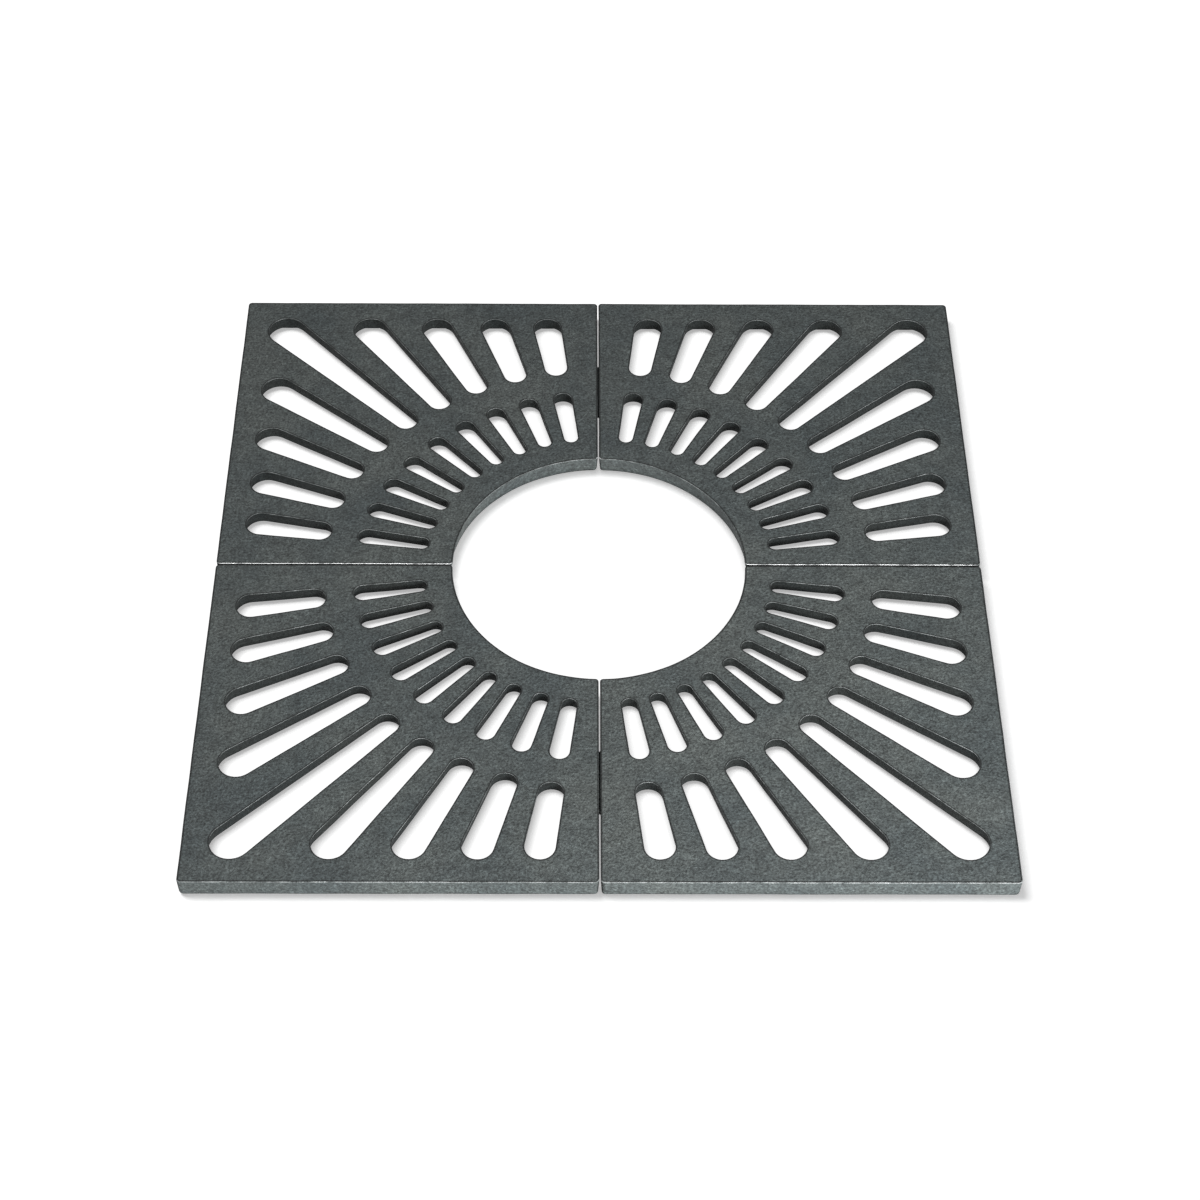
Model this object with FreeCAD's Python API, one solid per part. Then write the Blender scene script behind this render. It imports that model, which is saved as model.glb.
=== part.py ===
import FreeCAD, Part
import math
import os

# Cast iron tree grate: four equal corner castings bolted into a square round a tree.
# Millimetres, +Z up, origin on the ground at the middle of the trunk opening, +Y to the rear.

# The assembled grate
side = 1000.0
joint_gap = 1.5
height = 30.0
trunk_radius = 190.0

# The section of a casting: a slotted deck with deeper rims all round, drafted downwards
deck_depth = 20.0
outer_rim_width = 22.0
ring_width = 24.0
seam_rim_width = 16.0
side_draft = 1.5
seam_draft = 3.0
hole_draft = 11.5
recess_draft = 10.0
corner_radius = 5.0
hole_corner_chamfer = 3.0
bottom_chamfer = 3.5

# The radial slots; their angles are about the casting's inner corner
slots_per_row = 9
inner_slot_angle = 4.5
outer_slot_angle = 4.7
slot_draft = 10.0
ring_band = 35.5
inner_slot_length = 94.5
middle_band = 37.0
outer_border = 33.0
flats_per_end = 8

# The lugs under the seams, and the room around the fasteners in the pockets behind them
lug_length = 84.0
lug_recess = 10.0
room_below = 1.0
room_above = 1.5
room_beside = 4.0
room_behind = 5.0

# The fasteners
bolt_diameter = 10.0
bolt_hole_clearance = 2.0
head_across_flats = 16.0
head_height = 6.4
nut_across_flats = 16.0
nut_height = 8.4
thread_clearance = 0.2
thread_end = 6.1
washer_diameter = 20.0
washer_thickness = 2.0
washer_clearance = 0.5

# Sizes that follow
half_gap = joint_gap / 2
casting_side = side / 2 - half_gap
rim_depth = height - deck_depth
slot_pitch = 90.0 / (slots_per_row + 1)
inner_row_start = trunk_radius + ring_band
inner_row_end = inner_row_start + inner_slot_length
outer_row_start = inner_row_end + middle_band
border_line = casting_side - outer_border
lug_position = inner_row_end + middle_band / 2
lug_thickness = half_gap + seam_rim_width
bolt_height = washer_diameter / 2 + room_below
overrun = 1.0

ORIGIN = FreeCAD.Vector(0, 0, 0)
UP = FreeCAD.Vector(0, 0, 1)
ALONG_X = FreeCAD.Vector(1, 0, 0)
ACROSS_DIAGONAL = FreeCAD.Vector(1, -1, 0)


def at(x, y, z):
    return FreeCAD.Vector(x, y, z)


def tangent(degrees):
    return math.tan(math.radians(degrees))


def flat_face(corners):
    return Part.Face(Part.makePolygon(corners + corners[:1]))


def drafted_block(upper, lower):
    """A solid between two outlines with as many corners, joined corner to corner by flat walls."""
    faces = [flat_face(upper), flat_face(lower)]
    for i in range(len(upper)):
        faces.append(flat_face([upper[i - 1], upper[i], lower[i], lower[i - 1]]))
    return Part.Solid(Part.Shell(faces))


def square(low, high, z):
    return [at(low, low, z), at(high, low, z), at(high, high, z), at(low, high, z)]


def drafted_disc(radius, z_known, draft, z_from, z_to):
    """A cone frustum about the casting's inner corner, wider below, with this radius at z_known."""
    radius_from = radius + (z_known - z_from) * tangent(draft)
    radius_to = radius + (z_known - z_to) * tangent(draft)
    return Part.makeCone(radius_from, radius_to, z_to - z_from, at(0, 0, z_from), UP)


def upright_edges(shape):
    """The edges that run from the walking surface to the ground."""
    return [edge for edge in shape.Edges if len({round(end.Z) for end in edge.Vertexes}) > 1]


def ground_edges(shape):
    return [edge for edge in shape.Edges if all(abs(end.Z) < 1e-6 for end in edge.Vertexes)]


def beside_hole(edge):
    return math.hypot(edge.BoundBox.XMin, edge.BoundBox.YMin) < inner_row_start


def blank():
    """The casting's outside: a drafted square with the trunk opening cut from its inner corner."""
    low = height * tangent(seam_draft)
    high = casting_side - height * tangent(side_draft)
    body = drafted_block(square(0, casting_side, height), square(low, high, 0))
    body = body.cut(drafted_disc(trunk_radius, height, hole_draft, -overrun, height + overrun))
    outer = [edge for edge in upright_edges(body) if not beside_hole(edge)]
    body = body.makeFillet(corner_radius, outer)
    inner = [edge for edge in upright_edges(body) if beside_hole(edge)]
    body = body.makeChamfer(hole_corner_chamfer, inner)
    return body.makeChamfer(bottom_chamfer, ground_edges(body))


def recess():
    """The hollow under the deck, inside the outer rim, the seam rims and the ring at the hole."""
    low = seam_rim_width
    high = casting_side - outer_rim_width
    lean = rim_depth * tangent(recess_draft)
    hollow = drafted_block(square(low + lean, high - lean, rim_depth), square(low, high, 0))
    ring_radius = trunk_radius + ring_width
    return hollow.cut(drafted_disc(ring_radius, 0, -recess_draft, -overrun, rim_depth + overrun))


def slot_outline(start, end, start_radius, end_radius, z):
    """Two round ends about points on +X, joined by their common tangents.

    So many slots repeat this outline that each round end is drawn as a few even flats, whose
    corners lie on the true arc.
    """
    lean = math.degrees(math.asin((end_radius - start_radius) / (end - start)))
    far_end = (end, end_radius, 0, 90 + lean)
    near_end = (start, start_radius, 180, 90 - lean)
    corners = []
    for middle, radius, facing, half_sweep in (far_end, near_end):
        for step in range(flats_per_end + 1):
            turn = math.radians(facing + half_sweep * (2 * step / flats_per_end - 1))
            corners.append(at(middle + radius * math.cos(turn), radius * math.sin(turn), z))
    return corners


def slot(angle, start, end, half_angle):
    """A slot along one radius, wider below than at the walking surface.

    At the surface its flanks are radii as well, so a round end at distance d has the radius
    d * sin(half_angle).
    """
    grow = math.sin(math.radians(half_angle))
    outlines = []
    for z in (height + overrun, rim_depth - overrun):
        widening = (height - z) * tangent(slot_draft)
        outlines.append(slot_outline(start, end, start * grow + widening, end * grow + widening, z))
    cutter = drafted_block(outlines[0], outlines[1])
    cutter.rotate(ORIGIN, UP, angle)
    return cutter


def slots():
    """The inner row, between two arcs, and the outer row, from an arc to the square border."""
    inner_grow = math.sin(math.radians(inner_slot_angle / 2))
    outer_grow = math.sin(math.radians(outer_slot_angle / 2))
    cutters = []
    for number in range(1, slots_per_row + 1):
        angle = number * slot_pitch
        start = inner_row_start / (1 - inner_grow)
        end = inner_row_end / (1 + inner_grow)
        cutters.append(slot(angle, start, end, inner_slot_angle / 2))
        to_side = math.radians(min(angle, 90 - angle))
        start = outer_row_start / (1 - outer_grow)
        end = border_line / (math.cos(to_side) + outer_grow)
        cutters.append(slot(angle, start, end, outer_slot_angle / 2))
    return cutters


def lug():
    """The pad on the seam along +Y that meets the neighbour's pad in the middle of the gap."""
    low = lug_position - lug_length / 2
    return Part.makeBox(lug_thickness, lug_length, height - lug_recess, at(-half_gap, low, 0))


def bolt_pocket():
    """Room behind the lug for a bolt's head or its nut and washer, and the bolt's own hole."""
    reach = washer_thickness + nut_height + thread_end + room_behind
    half_width = washer_diameter / 2 + room_beside
    ceiling = bolt_height + washer_diameter / 2 + room_above
    corner = at(seam_rim_width, lug_position - half_width, -overrun)
    pocket = Part.makeBox(reach, 2 * half_width, ceiling + overrun, corner)
    hole_radius = (bolt_diameter + bolt_hole_clearance) / 2
    start = at(-half_gap - overrun, lug_position, bolt_height)
    hole = Part.makeCylinder(hole_radius, lug_thickness + 2 * overrun, start, ALONG_X)
    return pocket.fuse(hole)


def on_both_seams(shape):
    """The shape made for the seam along +Y, and its mirror image for the seam along +X."""
    return [shape, shape.mirror(ORIGIN, ACROSS_DIAGONAL)]


def casting():
    body = blank().cut(recess())
    body = body.fuse(on_both_seams(lug()))
    body = body.cut(on_both_seams(bolt_pocket()) + slots())
    body.translate(at(half_gap, half_gap, 0))
    return body.removeSplitter()


def disc(diameter, thickness, x):
    """A round disc on the bolt's axis, from x onwards."""
    return Part.makeCylinder(diameter / 2, thickness, at(x, 0, 0), ALONG_X)


def hexagon(across_flats, thickness, x):
    """A hexagonal prism on the bolt's axis, from x onwards, with two of its flats level."""
    corner = across_flats / math.sqrt(3)
    corners = []
    for step in range(6):
        turn = math.radians(60 * step)
        corners.append(at(x, corner * math.cos(turn), corner * math.sin(turn)))
    return flat_face(corners).extrude(at(thickness, 0, 0))


def fasteners():
    """Bolt, nut and washer on one seam, with the plane where the lugs meet at x = 0."""
    nut_seat = -lug_thickness - washer_thickness
    bolt_end = nut_seat - nut_height - thread_end
    head = hexagon(head_across_flats, head_height, lug_thickness)
    bolt = disc(bolt_diameter, lug_thickness - bolt_end, bolt_end).fuse(head)
    nut = hexagon(nut_across_flats, nut_height, nut_seat - nut_height)
    nut = nut.cut(disc(bolt_diameter + thread_clearance, nut_height, nut_seat - nut_height))
    washer = disc(washer_diameter, washer_thickness, nut_seat)
    washer = washer.cut(disc(bolt_diameter + washer_clearance, washer_thickness, nut_seat))
    pieces = {"bolt": bolt.removeSplitter(), "nut": nut, "washer": washer}
    for piece in pieces.values():
        piece.translate(at(0, half_gap + lug_position, bolt_height))
    return pieces


def write(name, shape, turn):
    """One solid, turned about the middle of the grate, in a STEP file of its own."""
    if not shape.isValid() or len(shape.Solids) != 1:
        raise ValueError(name + " is not one valid solid")
    piece = shape.Solids[0].copy()
    piece.rotate(ORIGIN, UP, turn)
    piece.exportStep("parts/" + name + ".step")


os.makedirs("parts", exist_ok=True)
corner_casting = casting()
seam_pieces = fasteners()
for place, turn in {"rear_right": 0, "rear_left": 90, "front_left": 180, "front_right": 270}.items():
    write("casting_" + place, corner_casting, turn)
for place, turn in {"rear": 0, "left": 90, "front": 180, "right": 270}.items():
    for name, shape in seam_pieces.items():
        write(name + "_" + place, shape, turn)
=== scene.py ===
import math

import bpy
import bmesh
from mathutils import Matrix, Vector, geometry, noise


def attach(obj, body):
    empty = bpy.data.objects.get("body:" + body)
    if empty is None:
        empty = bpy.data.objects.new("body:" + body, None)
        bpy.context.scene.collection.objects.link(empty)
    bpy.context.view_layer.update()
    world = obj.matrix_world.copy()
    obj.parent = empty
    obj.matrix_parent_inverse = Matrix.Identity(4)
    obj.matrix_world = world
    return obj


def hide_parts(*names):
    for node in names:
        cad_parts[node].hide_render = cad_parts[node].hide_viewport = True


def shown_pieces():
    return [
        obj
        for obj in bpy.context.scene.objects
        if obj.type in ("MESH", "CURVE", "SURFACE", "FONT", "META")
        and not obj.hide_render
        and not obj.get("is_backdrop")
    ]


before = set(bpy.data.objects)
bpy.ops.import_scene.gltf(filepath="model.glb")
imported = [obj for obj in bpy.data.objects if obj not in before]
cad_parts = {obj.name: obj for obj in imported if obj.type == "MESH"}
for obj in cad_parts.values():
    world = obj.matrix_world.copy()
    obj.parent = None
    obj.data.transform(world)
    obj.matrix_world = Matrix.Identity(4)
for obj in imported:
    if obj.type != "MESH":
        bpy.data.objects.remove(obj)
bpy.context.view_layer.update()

# The pieces are worked out in millimetres and written to their meshes in metres. The floor, the
# lamps and the camera are in metres throughout.
MM = 0.001

# Sizes of a casting, about its own inner corner
HALF_GAP = 0.75
SIDE = 499.25
HEIGHT = 30.0
RIM_DEPTH = 10.0
TRUNK_RADIUS = 190.0
SIDE_DRAFT = 1.5
SEAM_DRAFT = 3.0
HOLE_DRAFT = 11.5
SLOT_DRAFT = 10.0
RECESS_DRAFT = 10.0
CORNER_RADIUS = 5.0
HOLE_CORNER = 4.5
SMALLEST_RADIUS = 1.2
OUTER_TOP_ROUND = 1.3
SEAM_TOP_ROUND = 1.0
HOLE_TOP_ROUND = 1.2
SLOT_TOP_ROUND = 0.9
EDGE_BAND = 1.9
LOW_ROUND = 4.6
SIDE_LOW_ROUND = 7.0
SLOT_LOW_ROUND = 1.0
RECESS_ROOT = 1.6
RECESS_ROUND = 1.6
RECESS_CORNER = 6.0
SEAM_RIM = 16.0
OUTER_RIM = 22.0
RING_WIDTH = 24.0

# How finely the outlines and sections are drawn
EDGE_STEPS = 4
LOW_STEPS = 5
WALL_STEPS = 3
CORNER_STEPS = 5
SEAM_STEPS = 24
SIDE_STEPS = 40
BITE_STEPS = 64
SLOT_FAR_STEPS = 18
SLOT_NEAR_STEPS = 14
FLANK_STEPS = 10
DECK_SPACING = 9.0
EDGE_CLEARANCE = 0.55

# For the triangles of a plane: the tool's mode, and how near two points count as one
TRIANGLES_INSIDE = 1
SAME_PLACE = 1e-6

# Edges bent by more than this many degrees stay sharp, and large faces decide the shading
SHARP_CASTING = 38
SHARP_FASTENER = 25
FACE_WEIGHT = 80

# The slots. A row has its start, its end or its border with the side, and a slot's angle.
SLOTS_PER_ROW = 9
PITCH = 9.0
INNER_ROW = (225.5, 320.0, 4.5)
OUTER_ROW = (357.0, 465.5, 4.7)

# The lugs and fasteners. The washer has its bore's and its own radius, and its thickness.
LUG_Y = 338.5
LUG_LENGTH = 84.0
LUG_HEIGHT = 20.0
LUG_THICKNESS = HALF_GAP + SEAM_RIM
LUG_SETBACK = 0.4
LUG_BEVEL = 1.4
POCKET_HALF = 14.0
POCKET_REACH = 21.5
POCKET_HEIGHT = 22.5
POCKET_BEVEL = 2.5
POCKET_OVERRUN = 6
BOLT_HEIGHT = 11.0
BOLT_HOLE = 12.0
HOLE_OVERRUN = 4
HOLE_STEPS = 32
BOLT_RADIUS = 5.0
ACROSS_FLATS = 16.0
TURNED_FACE = 0.475 * ACROSS_FLATS
HEAD_HEIGHT = 6.4
HEAD_FLANGE = 0.4
HEAD_FLANGE_RADII = (7.3, 7.4)
HEAD_FILLET = 0.4
NUT_HEIGHT = 8.4
BOLT_BEYOND_NUT = 6.1
WASHER = (5.25, 10.0, 2.0)
THREAD_PITCH = 1.5
THREAD_DEPTH = 0.92
THREAD_LENGTH = 26.0
THREAD_ROOM = 0.06
TIP_CHAMFER = 1.1
COUNTERSINK = 0.35
AROUND = 60

# One turn of the thread: how far along the pitch, and how deep
THREAD_PROFILE = ((1 / 16, 0), (6 / 16, 1), (10 / 16, 1), (15 / 16, 0))

# How a casting strays from its pattern: waves of (height, length), sideways and downwards
SIDEWAYS_WAVES = ((0.35, 45), (0.12, 12))
DOWNWARD_WAVES = ((0.3, 70), (0.14, 18))
MEAN_SINK = 0.22
SEED_STEP = 10
SEED_SHIFT = (17.3, 5.1, 9.7)
LUG_MARGIN = 3
LUG_RUN = 15

# Where the marks for the material start and end. A tilt is the upward part of the normal, and
# a shade is where its ramp starts and how far it takes to reach 1.
EDGE_DEPTH = 2.2
WORN_TILT = 0.3
EDGE_TILT = 0.97
FLAT_TILT = 0.9995
# The edge mark is higher at the seams, for their near-white painted highlight.
SEAM_HIGHLIGHT_MARK = 2.0
SEAM_REACH = 2.0
SEAM_END = 4.0
FACES_SEAM = -0.8
INNER_REACH = 11
INNER_DEPTH = 0.2
SKIRT_DEPTH = 0.8
SLOT_SHADE = (0.2, 0.6)
SEAM_SHADE = (0.45, 0.5)
FOOT_SHADE = (6.0, -6.0)


def rad(degrees):
    return math.radians(degrees)


# Sections: how far a wall stands back from its sharp upper edge, and at what height

def arc_section(middle, z, radius, start, stop, steps):
    points = []
    for i in range(steps + 1):
        turn = rad(start + (stop - start) * i / steps)
        points.append((middle - radius * math.sin(turn), z + radius * math.cos(turn)))
    return points


def wall_section(z_top, z_low, draft, top_round, low_round):
    """From a narrow band of the upper plane, over a rounded edge and down a drafted wall.

    It ends with a second rounding, into the lower plane.
    """
    lean = math.tan(rad(draft))
    top_middle = top_round * (1 + math.sin(rad(draft))) / math.cos(rad(draft))
    section = [(top_middle + EDGE_BAND, z_top)]
    section += arc_section(top_middle, z_top - top_round, top_round, 0, 90 + draft, EDGE_STEPS)
    z = z_low + low_round
    low_middle = (z_top - z) * lean + low_round / math.cos(rad(draft))
    low = arc_section(low_middle, z, low_round, 90 + draft, 180, LOW_STEPS)
    return section + straight(section[-1], low[0], WALL_STEPS) + low


def recess_section():
    """From the ceiling, round the root of the rim's inner wall and over the rim's lower edge.

    The first number is how far the wall stands back from its line at the ground.
    """
    lean = math.tan(rad(RECESS_DRAFT))
    root = RECESS_ROOT
    z = RIM_DEPTH - root
    middle = -z * lean - root / math.cos(rad(RECESS_DRAFT))
    section = []
    for i in range(EDGE_STEPS + 1):
        turn = rad(90 + RECESS_DRAFT) * i / EDGE_STEPS
        section.append((middle + root * math.sin(turn), z + root * math.cos(turn)))
    low = RECESS_ROUND
    middle = -low * lean + low / math.cos(rad(RECESS_DRAFT))
    return section + arc_section(middle, low, low, 90 + RECESS_DRAFT, 180, EDGE_STEPS)


# Outlines

def corner_arc(x, y, radius, start, sweep, steps):
    points = []
    for i in range(steps + 1):
        turn = rad(start + sweep * i / steps)
        points.append((x + radius * math.cos(turn), y + radius * math.sin(turn)))
    return points


def straight(a, b, steps):
    """The points between a and b, without either."""
    return [(a[0] + (b[0] - a[0]) * i / steps, a[1] + (b[1] - a[1]) * i / steps)
            for i in range(1, steps)]


def framed_outline(low, high, ring, radius, inner_radius):
    """A square from low to high with a round bite about the origin, and rounded corners.

    With each point come its shares of the outer sides and of the bite. The rest is seam.
    """
    x = low + inner_radius
    y = math.sqrt((ring + inner_radius) ** 2 - x ** 2)
    lean = math.degrees(math.atan2(y, x))
    first = corner_arc(x, y, inner_radius, 180 + lean, -lean, CORNER_STEPS)
    seam_end = corner_arc(low + radius, high - radius, radius, 180, -90, CORNER_STEPS)
    corner = corner_arc(high - radius, high - radius, radius, 90, -90, CORNER_STEPS)
    other_end = corner_arc(high - radius, low + radius, radius, 0, -90, CORNER_STEPS)
    last = corner_arc(y, x, inner_radius, -90, -lean, CORNER_STEPS)
    bite = corner_arc(0, 0, ring, 90 - lean, 2 * lean - 90, BITE_STEPS)[1:-1]
    rising = [i / CORNER_STEPS for i in range(CORNER_STEPS + 1)]
    falling = rising[::-1]
    seam = straight(first[-1], seam_end[0], SEAM_STEPS)
    sides = straight(seam_end[-1], corner[0], SIDE_STEPS) + corner
    sides += straight(corner[-1], other_end[0], SIDE_STEPS)
    other_seam = straight(other_end[-1], last[0], SEAM_STEPS)
    outline = first + seam + seam_end + sides + other_end + other_seam + last + bite
    outer = [0] * len(first + seam) + rising + [1] * len(sides) + falling
    outer += [0] * (len(outline) - len(outer))
    hole = falling + [0] * (len(outline) - len(falling + rising + bite)) + rising
    hole += [1] * len(bite)
    return outline, outer, hole


def outer_loops():
    """The casting's outside, from the walking surface to the ground."""
    seams = wall_section(HEIGHT, 0, SEAM_DRAFT, SEAM_TOP_ROUND, LOW_ROUND)
    sides = wall_section(HEIGHT, 0, SIDE_DRAFT, OUTER_TOP_ROUND, SIDE_LOW_ROUND)
    holes = wall_section(HEIGHT, 0, HOLE_DRAFT, HOLE_TOP_ROUND, LOW_ROUND)
    loops = []
    for (seam, seam_z), (side, side_z), (hole, hole_z) in zip(seams, sides, holes):
        # Where the walls round inwards, the upright corners' radii shrink by as much.
        rounded_off = side - (HEIGHT - side_z) * math.tan(rad(SIDE_DRAFT))
        outline, outer, inner = framed_outline(seam, SIDE - side, TRUNK_RADIUS + hole,
                                               max(CORNER_RADIUS - rounded_off, SMALLEST_RADIUS),
                                               max(HOLE_CORNER - rounded_off, SMALLEST_RADIUS))
        loops.append([(x, y, seam_z + (side_z - seam_z) * at_side + (hole_z - seam_z) * at_hole)
                      for (x, y), at_side, at_hole in zip(outline, outer, inner)])
    return loops


def recess_loops():
    """The recess under the deck, from its ceiling to the ground."""
    loops = []
    for inset, z in recess_section():
        outline = framed_outline(SEAM_RIM - inset, SIDE - OUTER_RIM + inset,
                                 TRUNK_RADIUS + RING_WIDTH - inset,
                                 RECESS_CORNER + inset, RECESS_CORNER + inset)[0]
        loops.append([(p[0], p[1], z) for p in outline])
    return loops


def slot_outline(angle, start, end, start_radius, end_radius):
    """Two round ends at these distances along one radius, joined by their common tangents."""
    lean = math.degrees(math.asin((end_radius - start_radius) / (end - start)))
    far = corner_arc(end, 0, end_radius, -90 - lean, 180 + 2 * lean, SLOT_FAR_STEPS)
    near = corner_arc(start, 0, start_radius, 90 + lean, 180 - 2 * lean, SLOT_NEAR_STEPS)
    outline = far + straight(far[-1], near[0], FLANK_STEPS)
    outline += near + straight(near[-1], far[0], FLANK_STEPS)
    cos, sin = math.cos(rad(angle)), math.sin(rad(angle))
    return [(x * cos - y * sin, x * sin + y * cos) for x, y in outline]


def slot_loops(angle, start, end, half_angle):
    """Down through the deck. At the walking surface the flanks are radii of the opening."""
    grow = math.sin(rad(half_angle))
    loops = []
    for inset, z in wall_section(HEIGHT, RIM_DEPTH, SLOT_DRAFT, SLOT_TOP_ROUND, SLOT_LOW_ROUND):
        outline = slot_outline(angle, start, end, start * grow + inset, end * grow + inset)
        loops.append([(x, y, z) for x, y in outline])
    return loops


def all_slots():
    """The inner row ends on an arc, and the outer row at the square border."""
    slots = []
    for number in range(1, SLOTS_PER_ROW + 1):
        angle = number * PITCH
        row_start, row_end, width = INNER_ROW
        grow = math.sin(rad(width / 2))
        slots.append(slot_loops(angle, row_start / (1 - grow), row_end / (1 + grow), width / 2))
        row_start, border, width = OUTER_ROW
        grow = math.sin(rad(width / 2))
        to_side = rad(min(angle, 90 - angle))
        end = border / (math.cos(to_side) + grow)
        slots.append(slot_loops(angle, row_start / (1 - grow), end, width / 2))
    return slots


# Meshes

def inside(point, outline):
    """Whether a line from the point to the right crosses the outline an odd number of times."""
    x, y = point
    found = False
    for i in range(len(outline)):
        ax, ay = outline[i - 1][:2]
        bx, by = outline[i][:2]
        if (ay > y) != (by > y) and x < ax + (y - ay) * (bx - ax) / (by - ay):
            found = not found
    return found


def near_edge(point, outlines, distance):
    """Whether a point of an outline is nearer than this, both along X and along Y."""
    for outline in outlines:
        for x, y, _ in outline:
            if abs(x - point[0]) < distance and abs(y - point[1]) < distance:
                return True
    return False


def spread_points(outlines, spacing):
    """Points inside the first outline and outside the others, in offset rows."""
    points = []
    rows = int(SIDE / spacing)
    for j in range(rows + 1):
        for i in range(rows + 1):
            p = (i * spacing + (j % 2) * spacing / 2, j * spacing)
            if not inside(p, outlines[0]) or any(inside(p, o) for o in outlines[1:]):
                continue
            if not near_edge(p, outlines, spacing * EDGE_CLEARANCE):
                points.append(p)
    return points


class Builder:
    """A mesh made of swept walls and filled planes."""

    def __init__(self):
        self.bm = bmesh.new()

    def loop(self, points):
        return [self.bm.verts.new(p) for p in points]

    def sweep(self, loops):
        """Walls through a row of outlines; returns the vertices of the first and the last."""
        rings = [self.loop(points) for points in loops]
        for upper, lower in zip(rings, rings[1:]):
            for i in range(len(upper)):
                self.bm.faces.new((upper[i - 1], upper[i], lower[i], lower[i - 1]))
        return rings[0], rings[-1]

    def plane(self, rings, spacing):
        """Fills the first ring with triangles and leaves the others open.

        With a spacing, points are spread over the plane as well.
        """
        outlines = [[tuple(v.co) for v in ring] for ring in rings]
        verts = [v for ring in rings for v in ring]
        edges = []
        count = 0
        for ring in rings:
            n = len(ring)
            edges += [(count + i, count + (i + 1) % n) for i in range(n)]
            count += n
        z = outlines[0][0][2]
        if spacing:
            for x, y in spread_points(outlines, spacing):
                verts.append(self.bm.verts.new((x, y, z)))
        flat = [Vector(v.co[:2]) for v in verts]
        found = geometry.delaunay_2d_cdt(flat, edges, [], TRIANGLES_INSIDE, SAME_PLACE, True)
        origin = [ids[0] for ids in found[3]]
        for face in found[2]:
            corners = [verts[origin[i]] for i in face]
            middle = sum((v.co for v in corners), Vector()) / len(corners)
            filled = [inside(middle[:2], outline) for outline in outlines]
            if filled[0] and not any(filled[1:]):
                self.bm.faces.new(corners)


def casting_blank():
    """The casting without its lugs, as it leaves the pattern."""
    build = Builder()
    outer_top, outer_low = build.sweep(outer_loops())
    ceiling, rim_low = build.sweep(recess_loops())
    slots = [build.sweep(loops) for loops in all_slots()]
    build.plane([outer_top] + [s[0] for s in slots], DECK_SPACING)
    build.plane([ceiling] + [s[1] for s in slots], 0)
    build.plane([outer_low, rim_low], 0)
    bmesh.ops.recalc_face_normals(build.bm, faces=build.bm.faces[:])
    return build.bm


def box_mesh(low, high, bevel):
    bm = bmesh.new()
    bmesh.ops.create_cube(bm, size=1)
    for v in bm.verts:
        v.co = [low[i] if v.co[i] < 0 else high[i] for i in range(3)]
    bmesh.ops.bevel(bm, geom=bm.edges[:], offset=bevel, segments=3, profile=0.5, affect="EDGES")
    return bm


def bar_mesh(radius, start, end, middle_y, middle_z, segments):
    """A round bar along X."""
    bm = bmesh.new()
    bmesh.ops.create_cone(bm, cap_ends=True, segments=segments, radius1=radius, radius2=radius,
                          depth=end - start)
    bm.transform(Matrix.Translation(((start + end) / 2, middle_y, middle_z))
                 @ Matrix.Rotation(math.pi / 2, 4, "Y"))
    return bm


def new_object(bm, name):
    """An object of this mesh in the scene."""
    mesh = bpy.data.meshes.new(name)
    bm.to_mesh(mesh)
    bm.free()
    obj = bpy.data.objects.new(name, mesh)
    bpy.context.collection.objects.link(obj)
    return obj


def evaluated(obj):
    """A new mesh of the object as its modifiers leave it."""
    graph = bpy.context.evaluated_depsgraph_get()
    return bpy.data.meshes.new_from_object(obj.evaluated_get(graph))


def discard(obj):
    mesh = obj.data
    bpy.data.objects.remove(obj)
    bpy.data.meshes.remove(mesh)


def combine(target, tool_bm, operation):
    """Joins or cuts a shape exactly, and keeps nothing of it but the result."""
    tool = new_object(tool_bm, "tool")
    modifier = target.modifiers.new("combine", "BOOLEAN")
    modifier.operation = operation
    modifier.solver = "EXACT"
    modifier.object = tool
    before = target.data
    target.data = evaluated(target)
    target.modifiers.clear()
    bpy.data.meshes.remove(before)
    discard(tool)


MIRROR = Matrix(((0, 1, 0, 0), (1, 0, 0, 0), (0, 0, 1, 0), (0, 0, 0, 1)))


def on_both_seams(target, make, operation):
    """Joins or cuts the shape made for the seam along +Y, and its mirror image."""
    combine(target, make(), operation)
    other = make()
    other.transform(MIRROR)
    bmesh.ops.reverse_faces(other, faces=other.faces[:])
    combine(target, other, operation)


def ramp(value, start, length):
    return min(max((value - start) / length, 0.0), 1.0)


def mark(mesh):
    """Marks where the material differs.

    In turn: the rounded upper edges, more at the seams, for rubbed edges and painted highlights;
    the line where they start, for a painted dark line; walls that see little light, for painted
    shade; and the outside walls, painted lighter.
    """
    names = ("wear_and_highlight", "rim", "shade", "skirt")
    for name in names:
        mesh.attributes.new(name, "FLOAT", "POINT")
    wear_and_highlight, rim, shade, skirt = (mesh.attributes[name].data for name in names)
    for i, v in enumerate(mesh.vertices):
        x, y, z = v.co
        depth = HEIGHT - z
        tilt = v.normal.z if depth < EDGE_DEPTH else 1.0
        at_seam = min(x, y) < SEAM_REACH and max(x, y) < SIDE - SEAM_END
        # The rounded upper edges take rubbed colour and painted highlights, more at the seams; the
        # line where they start is painted dark.
        if WORN_TILT < tilt < EDGE_TILT:
            wear_and_highlight[i].value = SEAM_HIGHLIGHT_MARK if at_seam else 1.0
        elif EDGE_TILT < tilt < FLAT_TILT:
            rim[i].value = 1.0
        from_edge = min(x, y, SIDE - x, SIDE - y, math.hypot(x, y) - TRUNK_RADIUS)
        inner = from_edge > INNER_REACH and depth > INNER_DEPTH
        # Painted shade: the seam walls, the slot walls and the foot of the outside walls.
        if any(place < SEAM_REACH and facing < FACES_SEAM
               for place, facing in zip((x, y), v.normal)):
            shade[i].value = ramp(depth, *SEAM_SHADE)
        elif inner:
            shade[i].value = ramp(depth, *SLOT_SHADE)
        else:
            shade[i].value = ramp(z, *FOOT_SHADE)
        # The outside walls, which are painted lighter.
        if depth > SKIRT_DEPTH and not inner:
            skirt[i].value = 1.0


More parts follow.
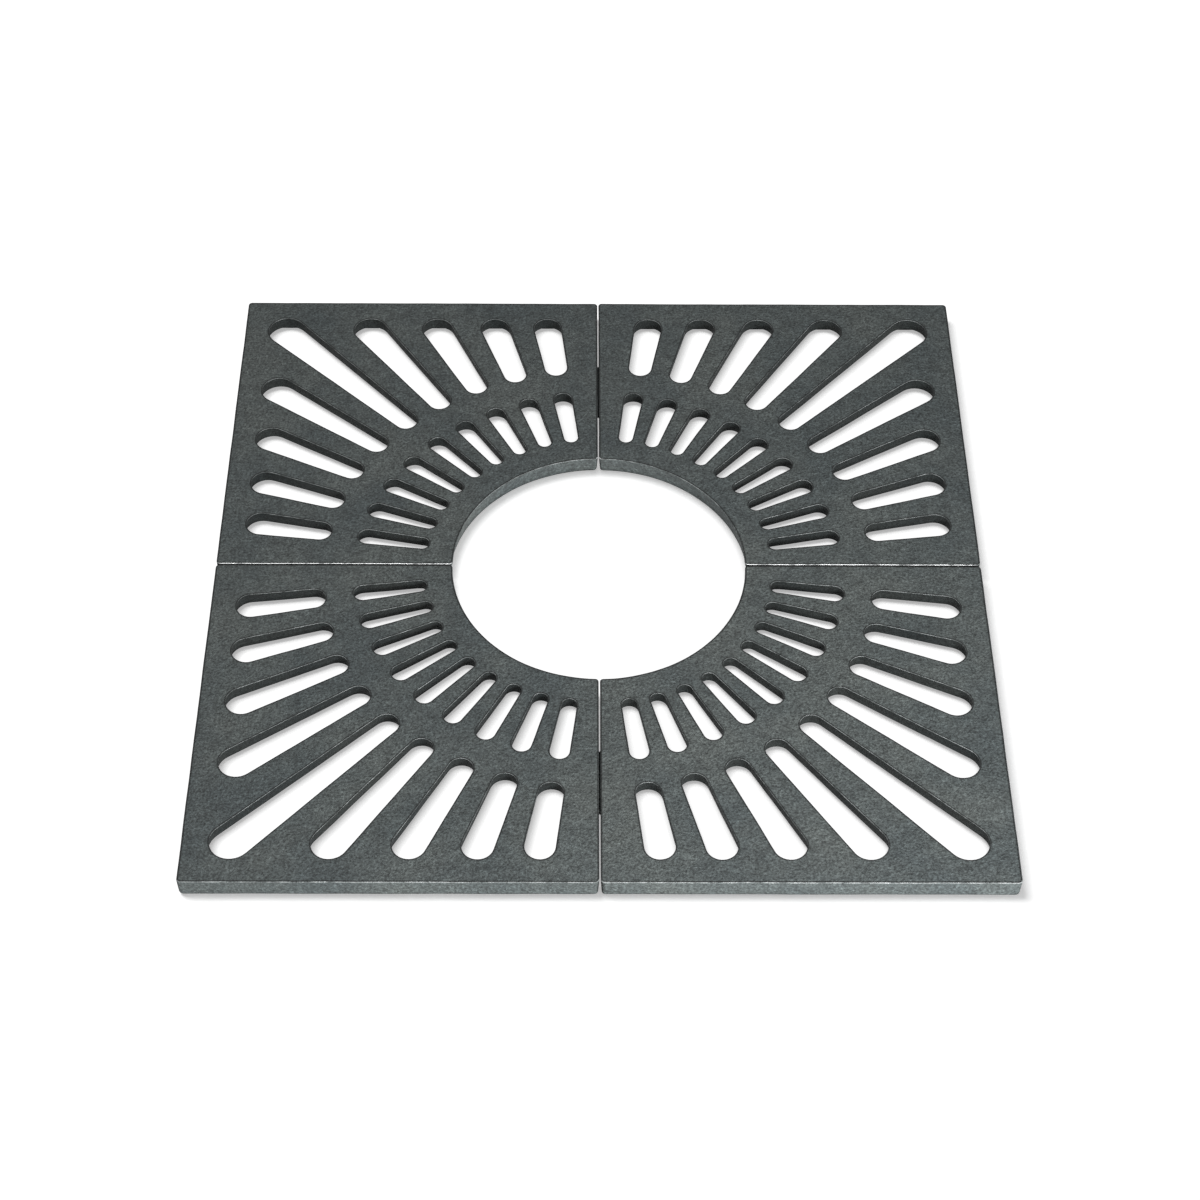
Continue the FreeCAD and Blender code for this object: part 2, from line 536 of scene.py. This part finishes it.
def smooth(obj, angle):
    """Soft shading over rounded edges. Flat faces stay flat, and corners past the angle sharp."""
    mesh = obj.data
    mesh.polygons.foreach_set("use_smooth", [True] * len(mesh.polygons))
    mesh.set_sharp_from_angle(angle=rad(angle))
    weighted = obj.modifiers.new("weighted", "WEIGHTED_NORMAL")
    weighted.keep_sharp = True
    weighted.weight = FACE_WEIGHT
    obj.data = evaluated(obj)
    obj.modifiers.clear()
    bpy.data.meshes.remove(mesh)


def casting_pattern():
    """One whole casting about its own inner corner, in millimetres."""
    obj = new_object(casting_blank(), "pattern")
    lug_low = LUG_Y - LUG_LENGTH / 2

    def pad():
        return box_mesh((-HALF_GAP, lug_low, 0),
                        (SEAM_RIM - LUG_SETBACK, lug_low + LUG_LENGTH, LUG_HEIGHT), LUG_BEVEL)

    def pocket():
        return box_mesh((SEAM_RIM, LUG_Y - POCKET_HALF, -POCKET_OVERRUN),
                        (SEAM_RIM + POCKET_REACH, LUG_Y + POCKET_HALF, POCKET_HEIGHT),
                        POCKET_BEVEL)

    def bolt_hole():
        return bar_mesh(BOLT_HOLE / 2, -HOLE_OVERRUN, SEAM_RIM + HOLE_OVERRUN,
                        LUG_Y, BOLT_HEIGHT, HOLE_STEPS)

    on_both_seams(obj, pad, "UNION")
    on_both_seams(obj, pocket, "DIFFERENCE")
    on_both_seams(obj, bolt_hole, "DIFFERENCE")
    mark(obj.data)
    return obj


def waves(x, y, z, sizes, seed):
    """The sum of a row of noises, each of this (height, length) and with a seed of its own."""
    total = 0.0
    for height, length in sizes:
        seed += 1
        spot = [value / length + seed * shift for value, shift in zip((x, y, z), SEED_SHIFT)]
        total += height * noise.noise(Vector(spot))
    return total


def clear_of_lugs(x, y):
    """0 on a lug and its pocket, rising to 1 a little way off."""
    clear = 1.0
    for across, along in ((x, y), (y, x)):
        away = max(abs(along - LUG_Y) - LUG_LENGTH / 2, across - SEAM_RIM - POCKET_REACH)
        clear = min(clear, max(away - LUG_MARGIN, 0) / LUG_RUN)
    return clear


def stray(mesh, seed):
    """How a sand casting strays from its pattern: gentle waves in its surfaces and outlines."""
    for v in mesh.vertices:
        x, y, z = v.co
        amount = clear_of_lugs(x, y)
        dx = waves(x, y, z, SIDEWAYS_WAVES, seed)
        dy = waves(x, y, z, SIDEWAYS_WAVES, seed + 2)
        sink = MEAN_SINK + waves(x, y, 0, DOWNWARD_WAVES, seed + 4)
        # Nothing strays past the outer sides, nor towards a seam from that seam's own wall.
        v.co.x = min(max(x + amount * dx, x if x < SEAM_RIM / 2 else 0), SIDE)
        v.co.y = min(max(y + amount * dy, y if y < SEAM_RIM / 2 else 0), SIDE)
        v.co.z = z - amount * max(sink, 0) * z / HEIGHT


def make_casting(pattern, place, turn, seed):
    """A casting with waves of its own, turned to its place."""
    obj = bpy.data.objects.new("grate_casting_" + place, pattern.data.copy())
    bpy.context.collection.objects.link(obj)
    stray(obj.data, seed)
    smooth(obj, SHARP_CASTING)
    obj.data.transform(Matrix.Scale(MM, 4) @ Matrix.Rotation(rad(turn), 4, "Z")
                       @ Matrix.Translation((HALF_GAP, HALF_GAP, 0)))
    dress(obj, CAST_IRON, "cast_iron", "casting_" + place)


# Fasteners, along X about the plane where two lugs meet. Each is a skin through columns of
# (place along the axis, radius), one column for each direction round the axis.


def hexagon_radius(step):
    """From the axis to a hexagon with two flats level, in this direction."""
    turn = 360 * step / AROUND
    return ACROSS_FLATS / 2 / math.cos(rad(turn % 60 - 30))


def thread_rows(start, end, step, limit):
    """Crests and roots of a metric thread along one direction, kept between the two ends."""
    rows = [(start, limit(start, BOLT_RADIUS - THREAD_DEPTH))]
    # A few turns more, as the thread is at another point of its turn in each direction.
    for turn in range(int((end - start) / THREAD_PITCH) + 3):
        for phase, depth in THREAD_PROFILE:
            x = start + THREAD_PITCH * (turn + phase - step / AROUND)
            x = min(max(x, start), end)
            rows.append((x, limit(x, BOLT_RADIUS - depth * THREAD_DEPTH)))
    return rows


def skin(columns, helical_rows, capped):
    """A closed skin, through rows of which the first so many run in a helix.

    There the last column meets the first one turn of the thread on. Rows that lie in the same
    place are joined.
    """
    bm = bmesh.new()
    known = {}

    def vertex(i, k):
        x, radius = columns[i][k]
        turn = 2 * math.pi * i / AROUND
        spot = (x, radius * math.cos(turn), radius * math.sin(turn))
        key = tuple(round(value, 3) for value in spot)
        if key not in known:
            known[key] = bm.verts.new(spot)
        return known[key]

    def across(i, k):
        if i + 1 < AROUND:
            return vertex(i + 1, k)
        return vertex(0, max(k - len(THREAD_PROFILE), 0) if k < helical_rows else k)

    for i in range(AROUND):
        for k in range(len(columns[0]) - 1):
            corners = [vertex(i, k), vertex(i, k + 1), across(i, k + 1), across(i, k)]
            corners = [v for n, v in enumerate(corners) if v is not corners[n - 1]]
            if len(corners) > 2:
                bm.faces.new(corners)
    if capped:
        for k in (0, -1):
            bm.faces.new([vertex(i, k) for i in range(AROUND)])
    bmesh.ops.recalc_face_normals(bm, faces=bm.faces[:])
    return bm


def hexagon_rows(low, high, step, rounded_low):
    """Up the outside of a hexagon whose ends are turned off at 30 degrees."""
    corner = hexagon_radius(step)
    face = TURNED_FACE
    slope = (corner - face) * math.tan(rad(30))
    upper = [(high - slope, corner), (high, face)]
    if rounded_low:
        return [(low, face), (low + slope, corner)] + upper
    return [(low, corner)] + upper


def bolt_mesh():
    tip = -LUG_THICKNESS - WASHER[2] - NUT_HEIGHT - BOLT_BEYOND_NUT
    thread_end = tip + THREAD_LENGTH
    seat = LUG_THICKNESS
    hexagon = seat + HEAD_FLANGE

    def limit(x, radius):
        """The chamfer at the tip, and the plain shank where the thread ends."""
        if x >= thread_end:
            return BOLT_RADIUS
        return min(radius, BOLT_RADIUS - TIP_CHAMFER + x - tip)

    columns = []
    for step in range(AROUND):
        column = thread_rows(tip, thread_end, step, limit)
        helical = len(column)
        column += [(seat - HEAD_FILLET, BOLT_RADIUS), (seat, BOLT_RADIUS + HEAD_FILLET),
                   (seat, HEAD_FLANGE_RADII[0]), (hexagon, HEAD_FLANGE_RADII[1])]
        columns.append(column + hexagon_rows(hexagon, seat + HEAD_HEIGHT, step, False))
    return skin(columns, helical, True)


def nut_mesh():
    seat = -LUG_THICKNESS - WASHER[2]
    end = seat - NUT_HEIGHT

    def limit(x, radius):
        """Some room round the bolt's thread, and a countersink at either end."""
        return max(radius + THREAD_ROOM, BOLT_RADIUS + COUNTERSINK - min(x - end, seat - x))

    columns = []
    for step in range(AROUND):
        column = thread_rows(end, seat, step, limit)
        helical = len(column)
        column += hexagon_rows(end, seat, step, True)[::-1]
        columns.append(column + column[:1])
    return skin(columns, helical, False)


def washer_mesh():
    """A punched washer, whose outer edge is rounded at the back and hardly broken at the seat."""
    bore, outside, thickness = WASHER
    inner_break, outer_break, rounding, bend = 0.1, 0.15, 0.4, 0.12
    seat = -LUG_THICKNESS
    back = seat - thickness
    column = [(back, bore + inner_break), (back + inner_break, bore),
              (seat - inner_break, bore), (seat, bore + inner_break),
              (seat, outside - outer_break), (seat - outer_break, outside),
              (back + rounding, outside), (back + bend, outside - bend),
              (back, outside - rounding), (back, bore + inner_break)]
    return skin([column] * AROUND, 0, False)


def make_fastener(kind, bm, place, turn):
    """A bolt, nut or washer, moved from the axis that it is made about to its seam."""
    obj = new_object(bm, "grate_" + kind + "_" + place)
    smooth(obj, SHARP_FASTENER)
    obj.data.transform(Matrix.Scale(MM, 4) @ Matrix.Rotation(rad(turn), 4, "Z")
                       @ Matrix.Translation((0, HALF_GAP + LUG_Y, BOLT_HEIGHT)))
    dress(obj, ZINC, "zinc_steel", kind + "_" + place)


def dress(obj, material, slot, *nodes):
    obj.data.materials.clear()
    obj.data.materials.append(material)
    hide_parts(*nodes)
    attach(obj, "root")


# Materials

IRON_DARK = (0.052, 0.063, 0.064, 1)
IRON_LIGHT = (0.073, 0.083, 0.080, 1)
# The rubbed edges' colour, partly a painted highlight, and the near-white painted highlight of the
# seams.
WORN_EDGE_AND_HIGHLIGHT = (0.27, 0.288, 0.288, 1)
PAINTED_SEAM_HIGHLIGHT = (0.8, 0.82, 0.82, 1)
ZINC_DARK = (0.50, 0.52, 0.54, 1)
ZINC_LIGHT = (0.62, 0.63, 0.61, 1)

# The sockets of a mix node that are for colours
MIX_A, MIX_B, MIX_RESULT = 6, 7, 2


def grey(value):
    return (value, value, value, 1)


def shader_tree(name):
    material = bpy.data.materials.new(name)
    material.use_nodes = True
    tree = material.node_tree
    return material, tree, tree.nodes["Principled BSDF"]


def node(tree, kind, **values):
    made = tree.nodes.new(kind)
    for key, value in values.items():
        setattr(made, key, value)
    return made


def feed(tree, socket, value):
    """Sets the socket to a number or a colour, or links an output to it."""
    if isinstance(value, (int, float, tuple)):
        socket.default_value = value
    else:
        tree.links.new(value, socket)


def object_place(tree):
    return node(tree, "ShaderNodeTexCoord").outputs["Object"]


def attribute(tree, name):
    return node(tree, "ShaderNodeAttribute", attribute_name=name).outputs["Fac"]


def noise_texture(tree, where, scale, detail, roughness):
    made = node(tree, "ShaderNodeTexNoise")
    feed(tree, made.inputs["Scale"], scale)
    feed(tree, made.inputs["Detail"], detail)
    feed(tree, made.inputs["Roughness"], roughness)
    feed(tree, made.inputs["Vector"], where)
    return made.outputs["Fac"]


def spread(tree, value, low, high, to_low, to_high):
    """Low to high becomes to_low to to_high, and nothing goes beyond those."""
    made = node(tree, "ShaderNodeMapRange")
    feed(tree, made.inputs["From Min"], low)
    feed(tree, made.inputs["From Max"], high)
    feed(tree, made.inputs["To Min"], to_low)
    feed(tree, made.inputs["To Max"], to_high)
    feed(tree, made.inputs["Value"], value)
    return made.outputs["Result"]


def vary(tree, texture, to_low, to_high):
    """The usual range of a noise, 0.3 to 0.7, becomes these two values."""
    return spread(tree, texture, 0.3, 0.7, to_low, to_high)


def maths(tree, operation, a, b):
    made = node(tree, "ShaderNodeMath", operation=operation)
    feed(tree, made.inputs[0], a)
    feed(tree, made.inputs[1], b)
    return made.outputs[0]


def blend_colours(tree, mode, factor, a, b):
    made = node(tree, "ShaderNodeMix", data_type="RGBA", blend_type=mode)
    feed(tree, made.inputs[0], factor)
    feed(tree, made.inputs[MIX_A], a)
    feed(tree, made.inputs[MIX_B], b)
    return made.outputs[MIX_RESULT]


def darken(tree, factor, colour, value):
    """The colour times a grey of this value, as far as the factor goes."""
    return blend_colours(tree, "MULTIPLY", factor, colour, grey(value))


def scaled(tree, colour, factor):
    """The colour times a number that varies over the surface."""
    made = node(tree, "ShaderNodeVectorMath", operation="SCALE")
    feed(tree, made.inputs[0], colour)
    feed(tree, made.inputs["Scale"], factor)
    return made.outputs[0]


def tinted(tree, colour, other):
    """One colour times another."""
    made = node(tree, "ShaderNodeVectorMath", operation="MULTIPLY")
    feed(tree, made.inputs[0], colour)
    feed(tree, made.inputs[1], other)
    return made.outputs[0]


def roughen(tree, shader, height, strength, distance):
    bump = node(tree, "ShaderNodeBump")
    feed(tree, bump.inputs["Strength"], strength)
    feed(tree, bump.inputs["Distance"], distance)
    feed(tree, bump.inputs["Height"], height)
    feed(tree, shader.inputs["Normal"], bump.outputs["Normal"])


def cast_iron():
    """Dark weathered iron, bare on the edges that feet rub.

    Painted on it: highlights on the rounded edges that face the front, brightest at the seams;
    shade on the edges that face away, in the slots and seams and at the foot; a dark line where
    the edges start; and lighter outside walls.
    """
    material, tree, shader = shader_tree("cast_iron")
    where = object_place(tree)
    wear_and_highlight = attribute(tree, "wear_and_highlight")
    rim = attribute(tree, "rim")
    shade = attribute(tree, "shade")
    skirt = attribute(tree, "skirt")

    clouds = noise_texture(tree, where, scale=9, detail=3, roughness=0.55)
    blotches = noise_texture(tree, where, scale=62, detail=3, roughness=0.6)
    grain = noise_texture(tree, where, scale=330, detail=2, roughness=0.6)
    specks = noise_texture(tree, where, scale=190, detail=3, roughness=0.65)
    sand = noise_texture(tree, where, scale=1300, detail=3, roughness=0.6)

    iron = blend_colours(tree, "MIX", spread(tree, clouds, 0.35, 0.65, 0, 1),
                         IRON_DARK, IRON_LIGHT)
    for texture, low, high in ((blotches, 0.8, 1.2), (grain, 0.45, 1.55),
                               (specks, 0.75, 1.25), (sand, 0.6, 1.4)):
        iron = scaled(tree, iron, vary(tree, texture, low, high))
    # Painted light: the outside walls are lighter than the top, in mottled patches.
    painted_wall_light = blend_colours(tree, "MIX", skirt, grey(1.0), vary(tree, specks, 1.05, 1.65))
    iron = tinted(tree, iron, painted_wall_light)
    # Painted shade: a dark line where the rounded upper edges start.
    iron = darken(tree, spread(tree, rim, 0.15, 0.6, 0.0, 1.0), iron, 0.2)

    # Painted light and shade on the rounded edges, by the way they face: those facing the rear or
    # the sides are painted darker, and only those facing the front take the lighter rubbed colour,
    # which is partly a painted highlight.
    facing = node(tree, "ShaderNodeSeparateXYZ")
    feed(tree, facing.inputs[0], node(tree, "ShaderNodeNewGeometry").outputs["Normal"])
    away = maths(tree, "MULTIPLY", spread(tree, wear_and_highlight, 0.0, 0.6, 0.0, 1.0),
                 spread(tree, facing.outputs["Y"], -0.35, 0.0, 0.0, 1.0))
    towards = maths(tree, "SUBTRACT", 1.0, away)
    edge_rub_and_highlight = maths(tree, "MULTIPLY", wear_and_highlight, spread(tree, blotches, 0.4, 0.6, 0.15, 1.0))
    edge_rub_and_highlight = maths(tree, "MULTIPLY", edge_rub_and_highlight, towards)
    # At the seams the edges take a near-white painted highlight.
    bare_and_highlight = blend_colours(tree, "MIX", spread(tree, wear_and_highlight, 1.0, SEAM_HIGHLIGHT_MARK, 0.0, 1.0),
                         WORN_EDGE_AND_HIGHLIGHT, PAINTED_SEAM_HIGHLIGHT)
    iron = blend_colours(tree, "MIX", edge_rub_and_highlight, iron, bare_and_highlight)
    # Painted shade on the edges that face the rear or the sides.
    iron = darken(tree, away, iron, 0.4)
    # Painted shade in the slots and seams and at the foot of the outside walls.
    iron = darken(tree, maths(tree, "MULTIPLY", shade, 0.9), iron, 0.27)
    feed(tree, shader.inputs["Base Color"], iron)

    rough = maths(tree, "ADD", vary(tree, blotches, 0.62, 0.78), vary(tree, grain, -0.07, 0.07))
    polish = maths(tree, "MULTIPLY", wear_and_highlight, spread(tree, blotches, 0.35, 0.6, 0.12, 0.4))
    polish = maths(tree, "MULTIPLY", polish, towards)
    feed(tree, shader.inputs["Roughness"], maths(tree, "SUBTRACT", rough, polish))
    feed(tree, shader.inputs["Metallic"], 0.0)
    # In the painted shade the walls reflect less as well.
    feed(tree, shader.inputs["Specular IOR Level"], spread(tree, shade, 0.0, 1.0, 0.5, 0.1))

    cells = node(tree, "ShaderNodeTexVoronoi")
    feed(tree, cells.inputs["Scale"], 210)
    feed(tree, cells.inputs["Vector"], where)
    pits = spread(tree, cells.outputs["Distance"], 0.0, 0.35, 0.0, 1.0)
    height = maths(tree, "MULTIPLY", grain, 0.8)
    for texture, share in ((specks, 1.0), (blotches, 1.2), (pits, 0.25), (sand, 0.3)):
        height = maths(tree, "ADD", height, maths(tree, "MULTIPLY", texture, share))
    roughen(tree, shader, height, strength=0.8, distance=0.0014)
    return material


def zinc():
    """Bright zinc plate, slightly clouded."""
    material, tree, shader = shader_tree("zinc_plate")
    where = object_place(tree)
    clouds = noise_texture(tree, where, scale=160, detail=3, roughness=0.55)
    grain = noise_texture(tree, where, scale=1400, detail=2, roughness=0.6)
    plate = blend_colours(tree, "MIX", spread(tree, clouds, 0.35, 0.65, 0, 1),
                          ZINC_DARK, ZINC_LIGHT)
    feed(tree, shader.inputs["Base Color"], scaled(tree, plate, vary(tree, grain, 0.9, 1.1)))
    rough = maths(tree, "ADD", vary(tree, clouds, 0.32, 0.48), vary(tree, grain, -0.04, 0.04))
    feed(tree, shader.inputs["Roughness"], rough)
    feed(tree, shader.inputs["Metallic"], 1.0)
    roughen(tree, shader, grain, strength=0.3, distance=0.0001)
    return material


def floor_material():
    """A pale floor that the camera sees as white, and that keeps the object's shadow."""
    material, tree, shader = shader_tree("studio_floor")
    rays = node(tree, "ShaderNodeLightPath")
    seen = rays.outputs["Is Camera Ray"]
    for name in ("Is Glossy Ray", "Is Transmission Ray"):
        seen = maths(tree, "MAXIMUM", seen, rays.outputs[name])
    colour = blend_colours(tree, "MIX", seen, grey(0.2), grey(0.9))
    feed(tree, shader.inputs["Base Color"], colour)
    feed(tree, shader.inputs["Roughness"], 0.9)
    feed(tree, shader.inputs["Specular IOR Level"], 0.0)
    feed(tree, shader.inputs["Emission Color"], grey(1.0))
    feed(tree, shader.inputs["Emission Strength"], maths(tree, "MULTIPLY", seen, 0.42))
    return material


CAST_IRON = cast_iron()
ZINC = zinc()

CASTINGS = {"rear_right": 0, "rear_left": 90, "front_left": 180, "front_right": 270}
pattern = casting_pattern()
for number, (place, turn) in enumerate(CASTINGS.items()):
    make_casting(pattern, place, turn, SEED_STEP * number)
discard(pattern)

SEAMS = {"rear": 0, "left": 90, "front": 180, "right": 270}
for place, turn in SEAMS.items():
    make_fastener("bolt", bolt_mesh(), place, turn)
    make_fastener("nut", nut_mesh(), place, turn)
    make_fastener("washer", washer_mesh(), place, turn)


# Floor, lights, world and camera

# The floor is in three sheets: in the trunk opening, under the castings and round the grate.
# They meet under the castings' rims, out of sight.

FLOOR_LEVEL = -0.0002
OPENING_REACH = 0.205
GRATE_REACH = 0.486
FLOOR_REACH = 20.0
FLOOR_STEPS = 64


def floor_ring(bm, reach, square):
    """Points round the middle, on a circle or on a square with this half width."""
    ring = []
    for step in range(FLOOR_STEPS):
        turn = 2 * math.pi * step / FLOOR_STEPS
        x, y = math.cos(turn), math.sin(turn)
        scale = reach / max(abs(x), abs(y)) if square else reach
        ring.append(bm.verts.new((x * scale, y * scale, FLOOR_LEVEL)))
    return ring


def floor_sheet(name, material, outer, inner=None):
    bm = bmesh.new()
    edge = floor_ring(bm, *outer)
    if inner:
        hole = floor_ring(bm, *inner)
        for i in range(FLOOR_STEPS):
            bm.faces.new((edge[i - 1], edge[i], hole[i], hole[i - 1]))
    else:
        bm.faces.new(edge)
    sheet = new_object(bm, name)
    sheet.data.materials.append(material)
    sheet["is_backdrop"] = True
    return sheet


FLOOR = floor_material()
floor_opening = floor_sheet("studio_floor_opening", FLOOR, (OPENING_REACH, False))
floor_under = floor_sheet("studio_floor_under", FLOOR, (GRATE_REACH, True), (OPENING_REACH, False))
floor_around = floor_sheet("studio_floor_around", FLOOR, (FLOOR_REACH, True), (GRATE_REACH, True))

world = bpy.data.worlds.new("studio")
bpy.context.scene.world = world
world.use_nodes = True
background = world.node_tree.nodes["Background"]
background.inputs["Color"].default_value = (1, 1, 1, 1)
background.inputs["Strength"].default_value = 0.19


def area_light(name, place, target, size, watts):
    data = bpy.data.lights.new(name, "AREA")
    data.shape = "RECTANGLE"
    data.size, data.size_y = size
    data.energy = watts
    light = bpy.data.objects.new(name, data)
    light.location = place
    light.rotation_mode = "QUATERNION"
    light.rotation_quaternion = (Vector(target) - Vector(place)).to_track_quat("-Z", "Y")
    bpy.context.collection.objects.link(light)
    return light


def light_only(light, objects):
    """The others still cast their shadows."""
    receivers = bpy.data.collections.new(light.name + "_receivers")
    for obj in objects:
        receivers.objects.link(obj)
    light.light_linking.receiver_collection = receivers


# Two lamps light the castings. Each sheet of floor has a lamp of its own, placed so that its
# shadows fall as they do in that part of the photographed view. The numbers are a lamp's place
# and target, its two sizes and its watts, and the last is what it lights.
LAMPS = (
    ("front_right", (0.95, -1.95, 0.96), (0.1, -0.45, 0.0), (1.4, 0.7), 88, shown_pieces()),
    ("overhead", (-1.3, 1.3, 6.0), (0, 0, 0), (2.4, 2.4), 133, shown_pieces()),
    ("floor_opening_lamp", (-1.6, 1.3, 12.0), (0, 0, 0), (4.8, 4.8), 880, [floor_opening]),
    ("floor_under_lamp", (-1.5, -3.2, 12.0), (0, 0, 0), (5.2, 5.2), 1060, [floor_under]),
    ("floor_around_lamp", (-4.36, 1.6, 12.0), (0, 0, 0), (4.0, 6.0), 1100, [floor_around]),
)
for name, place, target, size, watts, receivers in LAMPS:
    light_only(area_light(name, place, target, size, watts), receivers)

# The camera's place and directions are those that make the model fit the photographed view.
CAMERA_PLACE = (-0.02423, -2.19904, 2.52087)
FORWARD = Vector((0.00779, 0.6513, -0.75878)).normalized()
RIGHT = Vector((0.99997, -0.00328, 0.00745)).normalized()

camera_data = bpy.data.cameras.new("camera")
camera_data.sensor_width = 36
camera_data.lens = 76.25
camera = bpy.data.objects.new("camera", camera_data)
bpy.context.collection.objects.link(camera)
upward = RIGHT.cross(FORWARD).normalized()
sideways = FORWARD.cross(upward).normalized()
turned = Matrix((sideways, upward, -FORWARD)).transposed()
camera.matrix_world = Matrix.Translation(CAMERA_PLACE) @ turned.to_4x4()
bpy.context.scene.camera = camera
bpy.context.scene.view_settings.view_transform = "Standard"
